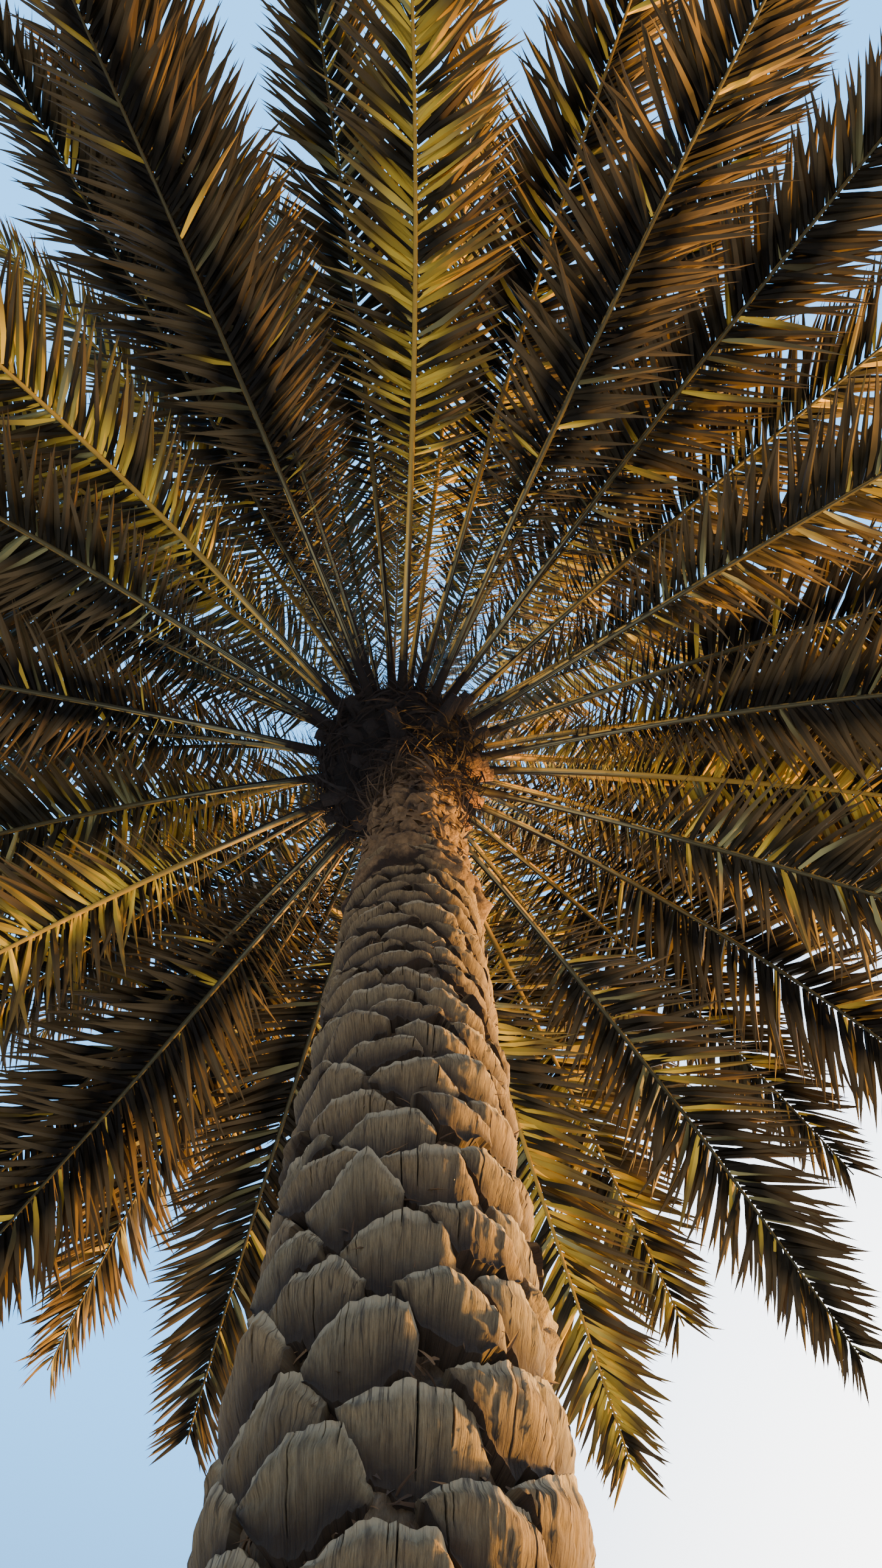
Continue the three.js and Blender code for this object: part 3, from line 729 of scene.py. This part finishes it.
def sweep_ribs(name, chosen):
    """One piece of the ribs of the chosen fronds, each swept along its line."""
    points, faces, reach, ring, tone, gold = [], [], [], [], [], []
    index = np.arange(0, PATH_STEPS + 1, 2)
    u = index / PATH_STEPS
    for k in chosen:
        rings = rib_rings(fronds[k], index, u, stalk_width(u, fronds[k]["young"]))
        rows, columns = rings.shape[:2]
        faces.append(grid_faces(rows, columns, closed=True)[:, ::-1] + len(points) * rows * columns)
        points.append(rings.reshape(-1, 3))
        reach.append(np.repeat(u, columns))
        ring.append(np.tile(np.arange(columns) / columns, rows))
        tone.append(np.full(rows * columns, spread(k, "roll")))
        gold.append(np.full(rows * columns, fronds[k]["gold"]))
    points, faces, *rest = (np.concatenate(part) for part in (points, faces, reach, ring, tone, gold))
    made = mesh_piece(name, points, faces, rib_skin, **dict(zip(("reach", "ring", "tone", "gold"), rest)))
    made.data.shade_smooth()
    return made


outer = range(SINGLE_FRONDS)
inner = range(SINGLE_FRONDS, FRONDS)
single_nodes = [f"frond_{k + 1:02d}" for k in outer]
group_nodes = [f"young_fronds_{quarter + 1}" for quarter in range(4)]
ribs = sweep_ribs("ribs", outer)
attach(ribs, "root")
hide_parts(*single_nodes)
young_ribs = sweep_ribs("young_ribs", inner)
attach(young_ribs, "root")
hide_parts(*group_nodes)


# The leaflets: stiff, pointed, folded along the middle like a shallow gutter, and set along both flanks of
# each rib in twos and threes that point in several planes. The lowest fronds are the darkest, and the young
# ones are blue-green.
LONGEST_LEAFLET = 0.72
LEAFLET_SPACING = 0.0215
LEAFLET_WIDTH = 0.059
PLANES = np.radians([12, -10, 3, -22, 16, -4])


def frame_on(frond, u):
    """Place, width and directions on a frond's rib at each share u of its length."""
    step = np.clip(u, 0, 0.9999) * PATH_STEPS
    low = np.floor(step).astype(int)
    part = (step - low)[:, None]
    at, along, across, face = (
        frond[key][low] * (1 - part) + frond[key][low + 1] * part for key in ("at", "along", "across", "face")
    )
    return at, along, across, face, stalk_width(u, frond["young"])[:, None]


def unit(ways):
    return ways / np.linalg.norm(ways, axis=1, keepdims=True)


def fanned(along, across, face, out, lift):
    """The ways turned out from along towards across, and lifted towards face, by two angles."""
    return along * np.cos(out) + across * np.sin(out) * np.cos(lift) + face * np.sin(out) * np.sin(lift)


def leaflet_length(x):
    return LONGEST_LEAFLET * (mix(0.22, 0.4, x) + 0.69 * np.sin(np.pi * x**0.8))


def leaflet_arrays(chosen, seed):
    """Where the leaflets of the chosen fronds stand, the ways they point and face, their sizes and tones."""
    rng = np.random.default_rng(seed)
    columns = {"place": [], "aim": [], "upside": [], "size": [], "tone": [], "gold": []}
    for k in chosen:
        frond = fronds[k]
        count = int(frond["length"] * (0.985 - BARE) / LEAFLET_SPACING / mix(1, 1.3, smooth(k, 30, 60)))
        for side in (-1, 1):
            u = np.linspace(BARE - 0.055, 0.985, count) + rng.uniform(-0.0025, 0.0025, count)
            at, along, across, face, width = frame_on(frond, u)
            x = np.clip((u - BARE) / (LAST_STATION - BARE), 0, 1)
            youth = frond["youth"] ** 3
            out = np.radians(mix(mix(70, 38, x), mix(24, 16, x), youth) + rng.normal(0, 5.5, count))
            planes = PLANES[(np.arange(count) + k) % len(PLANES)] * mix(1.0, 0.45, x)
            lift = np.radians(mix(32, 14, x)) + planes + rng.normal(0, 0.07, count)
            out, lift = out[:, None], lift[:, None]
            aim = fanned(along, side * across, face, out, lift)
            upside = unit(face - aim * np.sum(face * aim, axis=1, keepdims=True))
            twist = rng.normal(0.0, 0.38, count)[:, None]
            upside = upside * np.cos(twist) + np.cross(aim, upside) * np.sin(twist)
            length = leaflet_length(x) * rng.uniform(0.88, 1.06, count)
            broad = LEAFLET_WIDTH * np.clip(length / 0.5, 0.45, 1) * mix(0.3, 1, smooth(x, 0, 0.28))
            broad *= mix(1, 0.6, frond["youth"] ** 2) * rng.uniform(0.85, 1.1, count)
            columns["place"].append(at + side * across * 0.40 * width + face * 0.06 * width)
            columns["aim"].append(aim)
            columns["upside"].append(upside)
            columns["size"].append(np.stack([length, broad, length * rng.uniform(0.04, 0.20, count)], -1))
            pale = 0.7 * (rng.random(count) < 0.10)
            columns["tone"].append(np.clip(rng.normal(spread(k, "sweep"), 0.18, count), 0, 1) + pale)
            # Painted sunlight: golden leaflets, many on the fronds painted as sunlit and a few on the rest.
            lit = rng.random(count) < mix(0.04, 0.55, frond["gold"])
            columns["gold"].append(lit * rng.uniform(0.35, 1, count))
    return {key: np.concatenate(value) for key, value in columns.items()}


def planting_tree():
    """A node tree that sets a folded, tapering blade on each point, with its length along `aim` and its upper
    side towards `upside`, scaled by `size`, and joins them all."""
    tree = bpy.data.node_groups.new("planting", "GeometryNodeTree")
    sockets = {}
    wanted = {
        "Points": "NodeSocketGeometry",
        "Segments": "NodeSocketInt",
        "Fold": "NodeSocketFloat",
        "Material": "NodeSocketMaterial",
    }
    for title, kind in wanted.items():
        sockets[title] = tree.interface.new_socket(title, in_out="INPUT", socket_type=kind).identifier
    tree.interface.new_socket("Blades", in_out="OUTPUT", socket_type="NodeSocketGeometry")
    given = tree.nodes.new("NodeGroupInput")
    start = Wire(tree)
    points, segments, fold, material = (Wire(tree, socket) for socket in list(given.outputs)[: len(wanted)])

    grid = start.node(
        "GeometryNodeMeshGrid", {}, {"Size X": 1.0, "Size Y": 1.0, "Vertices X": segments, "Vertices Y": 3}
    )
    position = start.node("GeometryNodeInputPosition")
    x = start.node("ShaderNodeSeparateXYZ", {}, {0: position}, output=0) + 0.5
    y = start.node("ShaderNodeSeparateXYZ", {}, {0: position}, output=1)
    swelling = start.math("MINIMUM", x * 2.2 + 0.42, 1.0)
    taper = start.math("MAXIMUM", 1.0 - x, 0.0) ** 0.6
    half = y * swelling * taper
    droop = start.math("ABSOLUTE", half) * fold - x * x
    shaped = start.node("ShaderNodeCombineXYZ", {}, {0: x, 1: half, 2: droop})
    blade = start.node("GeometryNodeSetPosition", {}, {"Geometry": grid, "Position": shaped})
    blade = start.node(
        "GeometryNodeStoreNamedAttribute",
        {"data_type": "FLOAT", "domain": "POINT"},
        {"Geometry": blade, "Name": "along", "Value": x},
    )

    def attribute(title):
        return start.node("GeometryNodeInputNamedAttribute", {"data_type": "FLOAT_VECTOR"}, {"Name": title})

    turned = start.node(
        "FunctionNodeAxesToRotation",
        {"primary_axis": "X", "secondary_axis": "Z"},
        {"Primary Axis": attribute("aim"), "Secondary Axis": attribute("upside")},
    )
    set_out = start.node(
        "GeometryNodeInstanceOnPoints",
        {},
        {"Points": points, "Instance": blade, "Rotation": turned, "Scale": attribute("size")},
    )
    joined = start.node("GeometryNodeRealizeInstances", {}, {"Geometry": set_out})
    coloured = start.node("GeometryNodeSetMaterial", {}, {"Geometry": joined, "Material": material})
    tree.links.new(coloured.socket, tree.nodes.new("NodeGroupOutput").inputs[0])
    return tree, sockets


planting, planting_sockets = planting_tree()


def plain_mesh(host):
    """Turns what the object's modifiers make into its own plain mesh, and removes them."""
    graph = bpy.context.evaluated_depsgraph_get()
    made = bpy.data.meshes.new_from_object(
        host.evaluated_get(graph), preserve_all_data_layers=True, depsgraph=graph
    )
    host.modifiers.clear()
    host.data = made
    return host


def plant(name, where, material, segments=5, fold=0.55):
    """One piece with a blade on each point of the arrays."""
    attributes = {key: values for key, values in where.items() if key != "place"}
    host = mesh_piece(name, where["place"], np.zeros((0, 4), dtype=int), None, **attributes)
    growing = host.modifiers.new("planting", "NODES")
    growing.node_group = planting
    for title, value in (("Segments", segments), ("Fold", fold), ("Material", material)):
        growing[planting_sockets[title]] = value
    return plain_mesh(host)


DARK_OLIVE, OLIVE = (0.004, 0.003, 0.0012, 1), (0.027, 0.0225, 0.011, 1)
DEEP_GREEN, MID_GREEN = (0.005, 0.005, 0.002, 1), (0.025, 0.0235, 0.013, 1)
GREY_GREEN, DULL_GREEN = (0.022, 0.028, 0.020, 1), (0.090, 0.110, 0.080, 1)
BLUE_GREEN, PALE_GREEN = (0.105, 0.140, 0.105, 1), (0.200, 0.240, 0.180, 1)
PALE_OLIVE, STRAW, GOLDEN = (0.30, 0.29, 0.12, 1), (0.12, 0.083, 0.036, 1), (0.80, 0.55, 0.060, 1)


def leaflet_look(dark, light):
    def look(start):
        tone, gold, along = painted(start, "tone", "gold", "along")
        clouds = noise_on(place_of(start), 2.2, 3.0)
        green = mixed(between(tone * 0.75 + clouds * 0.6, 0.42, 1.20), dark, light)
        green = mixed(between(tone, 1.0, 1.7), green, PALE_OLIVE)
        # Painted sunlight: gold turns a leaflet golden.
        green = mixed(gold, green, GOLDEN)
        colour = mixed(between(along + clouds * 0.2, 0.82, 1.08) * 0.8, green, STRAW)
        return {"Base Color": colour, "Roughness": 0.50 + clouds * 0.25, "Specular IOR Level": 0.13}

    return look


dressings = {
    "leaflets_low": (range(27), leaflet_look(DARK_OLIVE, OLIVE), "fronds", single_nodes[:27]),
    "leaflets_high": (range(27, 44), leaflet_look(DEEP_GREEN, MID_GREEN), "fronds", single_nodes[27:44]),
    "leaflets_inner": (range(44, 54), leaflet_look(GREY_GREEN, DULL_GREEN), "fronds", single_nodes[44:]),
    "leaflets_young": (inner, leaflet_look(BLUE_GREEN, PALE_GREEN), "young_fronds", group_nodes),
}
for name, (chosen, look, slot, nodes) in dressings.items():
    leaflets = plant(name, leaflet_arrays(chosen, len(name)), finish(name, look))
    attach(leaflets, "root")
    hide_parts(*nodes)


# The spines: leaflets near the root that have hardened into long thin thorns, and stand out on both sides of
# each stalk at every angle.
SPINE_FROM, SPINE_SPACING = 0.035, 0.055

spines = {key: [] for key in ("place", "aim", "upside", "size", "tone")}
rng = np.random.default_rng(5)
for k, frond in enumerate(fronds):
    count = int(frond["length"] * (BARE - SPINE_FROM) / SPINE_SPACING)
    for side in (-1, 1):
        u = np.linspace(SPINE_FROM, BARE, count) + rng.uniform(-0.004, 0.004, count)
        at, along, across, face, width = frame_on(frond, u)
        out = np.radians(rng.uniform(30, 75, count))[:, None]
        lift = np.radians(rng.uniform(-5, 70, count))[:, None]
        aim = fanned(along, side * across, face, out, lift)
        length = mix(0.06, 0.20, (u - SPINE_FROM) / (BARE - SPINE_FROM)) * rng.uniform(0.6, 1.2, count)
        spines["place"].append(at + side * across * 0.42 * width)
        spines["aim"].append(aim)
        spines["upside"].append(unit(np.cross(aim, along)))
        spines["size"].append(np.stack([length, 0.006 + 0 * length, 0.004 + 0 * length], -1))
        spines["tone"].append(rng.random(count))
spines = {key: np.concatenate(value) for key, value in spines.items()}


def spine_look(start):
    tone, along = painted(start, "tone", "along")
    green = mixed(tone, (0.075, 0.075, 0.035, 1), (0.150, 0.120, 0.055, 1))
    colour = mixed(between(along, 0.6, 1.0), green, (0.10, 0.055, 0.025, 1))
    return {"Base Color": colour, "Roughness": 0.4 + tone * 0.2}


thorns = plant("spines", spines, finish("thorn", spine_look), segments=3, fold=1.0)
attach(thorns, "root")
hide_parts(*single_nodes, *group_nodes)


# The stubs: stalks of the last fronds to be cut, sawn off square a hand's breadth out from the heart and
# packed together round its lower rim. They are near black, a dark fibre deepened with painted shade, with a
# paler orange-brown cut end, and on the side towards the lamps their skin carries orange painted sunlight.
STUBS = 36
STUB_ROWS = 7
SUNLIT_STUB_TURN, SUNLIT_STUB_EDGE = math.radians(24), (0.40, 0.80)

rng = np.random.default_rng(8)
points, faces, cut, fresh = [], [], [], []
for j in range(STUBS):
    turn = SPIRAL_START + (LEAF_BASES - 1 - j) * GOLDEN_ANGLE + rng.uniform(-0.1, 0.1)
    root_z = mix(8.78, 8.46, j / (STUBS - 1))
    tilt, length = math.radians(rng.uniform(0, 34)), rng.uniform(0.20, 0.34)
    along = np.array([math.cos(tilt) * math.cos(turn), math.cos(tilt) * math.sin(turn), math.sin(tilt)])
    across = np.array([-math.sin(turn), math.cos(turn), 0.0])
    root = np.array([*axis_at(root_z), root_z]) + (heart_radius(root_z) - 0.15) * np.array([*along[:2], 0.0])
    share = np.append(np.linspace(0, 1, STUB_ROWS), 1.0)
    stub = {
        "at": root + along * (share * length)[:, None],
        "across": np.tile(across, (STUB_ROWS + 1, 1)),
        "face": np.tile(np.cross(along, across), (STUB_ROWS + 1, 1)),
    }
    width = mix(0.125, rng.uniform(0.060, 0.085), share)
    width[-1] *= 0.86
    rings = rib_rings(stub, np.arange(STUB_ROWS + 1), 0 * share, width)
    rings = rings + 0.006 * relief(rings * 40, 40)[..., None] * np.cross(along, across)
    first = j * rings.shape[0] * rings.shape[1]
    faces += (grid_faces(*rings.shape[:2], closed=True)[:, ::-1] + first).tolist()
    last = first + STUB_ROWS * rings.shape[1]
    faces.append(list(range(last, last + rings.shape[1]))[::-1])
    points.append(rings.reshape(-1, 3))
    cut.append(np.repeat(share * (np.arange(STUB_ROWS + 1) == STUB_ROWS), rings.shape[1]))
    # Painted sunlight: the stubs that point towards the lamps get orange skin.
    facing_lamp = 1 - smooth(abs(nearest(turn - SUNLIT_STUB_TURN)), *SUNLIT_STUB_EDGE)
    fresh.append(facing_lamp * np.repeat(smooth(share, 0.25, 0.7), rings.shape[1]))


def stub_look(start):
    cut, fresh = painted(start, "cut", "fresh")
    place = place_of(start)
    strands = noise_on(place, (70, 70, 30), 5.0, 0.7)
    pith = noise_on(place, 90.0, 3.0)
    # Near black: the stubs' dark fibre, deepened with painted shade.
    skin = mixed(between(strands, 0.3, 0.7), (0.003, 0.002, 0.0012, 1), (0.019, 0.010, 0.005, 1))
    # Painted sunlight: orange on the skin of the stubs towards the lamps.
    skin = mixed(fresh * between(strands, 0.30, 0.65), skin, (0.52, 0.24, 0.065, 1))
    sawn = mixed(pith, (0.16, 0.075, 0.026, 1), (0.42, 0.21, 0.080, 1))
    bump = bumped(strands, 0.9, 0.008)
    return {"Base Color": mixed(cut, skin, sawn), "Roughness": 0.8 + pith * 0.15, "Normal": bump}


points, cut, fresh = (np.concatenate(part) for part in (points, cut, fresh))
stubs = mesh_piece("stubs", points, faces, finish("stub_fibre", stub_look), cut=cut, fresh=fresh)
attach(stubs, "root")
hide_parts("trunk")


# The loose fibre: coarse brown strands, the torn weave of old leaf sheaths, that stick out from the heart and
# wrap the top of the neck, with papery flakes lower down where a sheath has split, and short ends in the
# gaps between the sawn leaf bases.
strand_sets = {  # the count, heights, lengths and widths of the strands, and how much they hang
    "heart_fibre": (2200, (8.50, 9.40), (0.07, 0.24), (0.0018, 0.005), 1.0),
    "neck_fibre": (1500, (7.55, 8.56), (0.06, 0.20), (0.0018, 0.006), 0.5),
    "neck_flakes": (620, (5.9, 8.3), (0.035, 0.095), (0.016, 0.045), 0.35),
    "gap_fibre": (4200, (0.05, 6.0), (0.02, 0.05), (0.004, 0.012), 0.1),
}


def fibre_look(start):
    tone, along = painted(start, "tone", "along")
    brown = mixed(tone, (0.002, 0.0012, 0.0008, 1), (0.013, 0.0065, 0.003, 1))
    tan = mixed(tone, (0.07, 0.042, 0.021, 1), (0.28, 0.185, 0.095, 1))
    # Near black up at the heart, partly painted shade under the crown; tan lower down, where the strands are
    # older.
    aged_and_shaded = mixed(between(height_of(place_of(start)), 8.1, 7.4), brown, tan)
    colour = mixed(along * 0.10, aged_and_shaded, (0.08, 0.040, 0.015, 1))
    return {"Base Color": colour, "Roughness": 0.75 + tone * 0.2}


fibre = finish("loose_fibre", fibre_look)
for name, (count, levels, lengths, widths, hanging) in strand_sets.items():
    rng = np.random.default_rng(count)
    turn, z = rng.uniform(0, TURN, count), rng.uniform(*levels, count)
    below = stem_radius(z) + 0.02 + 0.05 * smooth(z, 7.9, 8.5) - shaved(z)
    radius = np.where(z > HEART_Z[0], heart_radius(z), below) - 0.01
    radial = np.stack([np.cos(turn), np.sin(turn), 0 * turn], -1)
    tangent = np.stack([-np.sin(turn), np.cos(turn), 0 * turn], -1)
    aim = radial * rng.uniform(0.1, 1, (count, 1)) + tangent * rng.normal(0, 1, (count, 1))
    aim[:, 2] += rng.normal(-0.35 * hanging, 0.6, count)
    aim = unit(aim)
    length = rng.uniform(*lengths, count)
    strands = {
        "place": around_trunk(turn, z, radius),
        "aim": aim,
        "upside": unit(radial - aim * np.sum(radial * aim, axis=1, keepdims=True) + 1e-3 * tangent),
        "size": np.stack([length, rng.uniform(*widths, count), length * rng.uniform(0.1, 0.6, count)], -1),
        "tone": rng.random(count) ** 1.6,
    }
    tuft = plant(name, strands, fibre, segments=4, fold=0.4)
    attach(tuft, "root")
    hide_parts("trunk")


# The bud and the spears: in the middle of the crown a short sheathed cone carries the youngest leaves, and
# four that haven't opened yet stand up from it as slim pale spindles, pleated along their length.
BUD_ROWS, BUD_COLUMNS = 20, 48
SPEAR_LENGTH, SHORTER_SPEAR, SPEAR_HALF_WIDTH = 2.35, 0.22, 0.026
SPEAR_ROWS, SPEAR_COLUMNS = 40, 16


def bud_radius(turn, level):
    base = np.interp(level, [BUD_FROM, BUD_TOP], [BUD_FOOT_RADIUS, BUD_TIP_RADIUS])
    rough = 0.006 * relief(around_trunk(turn, level, base) * np.array([40, 40, 12.0]), 31) - 0.006
    return base + rough, {}


def spear_look(start):
    place = place_of(start)
    pleats = noise_on(place, (150, 150, 3), 3.0)
    clouds = noise_on(place, 5.0)
    pale = mixed(clouds, (0.23, 0.27, 0.15, 1), (0.36, 0.36, 0.22, 1))
    colour = mixed(between(pleats, 0.5, 0.65) * 0.6, pale, (0.10, 0.13, 0.07, 1))
    bump = bumped(pleats, 0.6, 0.004)
    return {"Base Color": colour, "Roughness": 0.45 + clouds * 0.2, "Normal": bump}


bud_levels = np.linspace(BUD_FROM, BUD_TOP, BUD_ROWS)
# The bud wears the heart's near-black fibre, with its painted shade.
bud = lathe("bud", bud_levels, bud_radius, dark_hair_and_shade, BUD_COLUMNS, closed_top=True)
points, faces = [], []
for quarter in range(4):
    turn = (quarter + 0.5) * TURN / 4
    out = np.array([math.cos(turn), math.sin(turn), 0.0])
    foot = np.array([*axis_at(CROWN_TOP), BUD_TOP - 0.04]) + 0.038 * out
    length = SPEAR_LENGTH - SHORTER_SPEAR * (3 - quarter)
    u = np.linspace(0, 1, SPEAR_ROWS)[:, None, None]
    belly = SPEAR_HALF_WIDTH * np.interp(u, [0, 0.15, 0.5, 1], [0.55, 0.85, 1, 0.06])
    ring = np.linspace(0, TURN, SPEAR_COLUMNS, endpoint=False)[None, :, None]
    pleated = belly * np.where(np.arange(SPEAR_COLUMNS)[None, :, None] % 2, 1.0, 0.84)
    centre = foot + u * (0.07 * out + np.array([0, 0, length]))
    spun = np.concatenate([np.cos(ring), np.sin(ring), 0 * ring], -1) * pleated
    faces.append(grid_faces(SPEAR_ROWS, SPEAR_COLUMNS, closed=True) + quarter * SPEAR_ROWS * SPEAR_COLUMNS)
    points.append((centre + spun).reshape(-1, 3))
spears = mesh_piece("spears", np.concatenate(points), np.concatenate(faces), finish("spear_skin", spear_look))
for piece in (bud, spears):
    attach(piece, "root")
    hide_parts(*group_nodes)


# The corners of the box round what is shown in the CAD model's place.
low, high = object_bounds()
